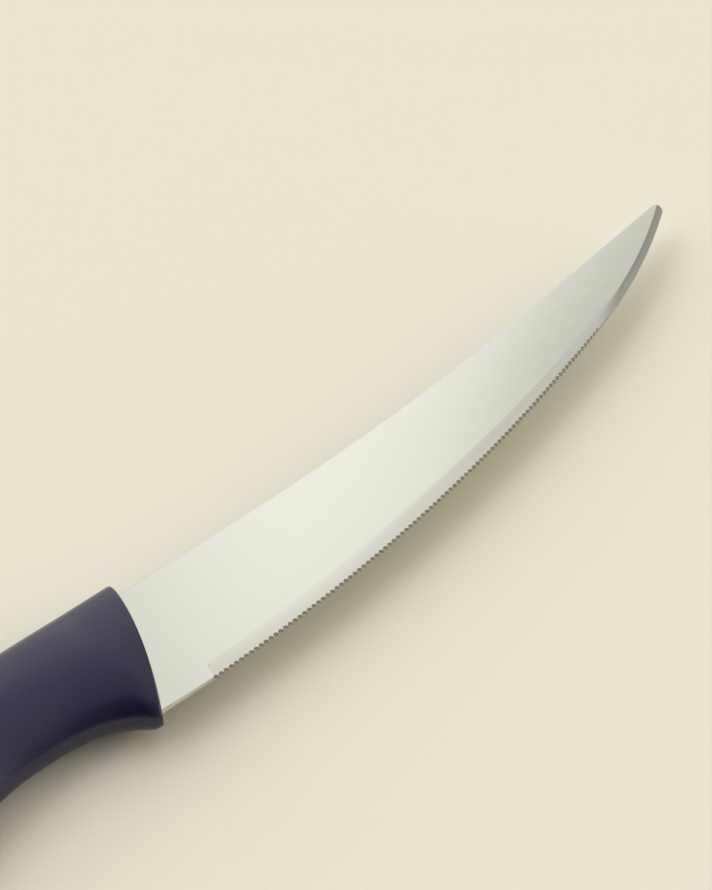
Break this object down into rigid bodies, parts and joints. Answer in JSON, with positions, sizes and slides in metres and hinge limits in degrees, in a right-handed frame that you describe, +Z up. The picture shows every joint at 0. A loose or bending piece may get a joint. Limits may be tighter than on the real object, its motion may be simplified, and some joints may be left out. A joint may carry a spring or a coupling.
{
  "type": "steak knife",
  "caption": "Table steak knife with a swept-up, finely toothed steel blade and a dark one-piece moulded handle with a finger guard and recess.",
  "frame": {"origin": "on the flat lower cheek of the handle, under the middle of the handle's length and height", "axes": "+X along the knife towards the tip, +Y across the blade towards the spine, +Z up from the table on which the knife lies"},
  "size_m": [0.2304, 0.0335, 0.0112],
  "materials": {
    "blade_steel": "satin",
    "handle_plastic": "matte"
  },
  "bodies": {
    "root": {"blade": "blade_steel", "handle": "handle_plastic"}
  },
  "joints": []
}
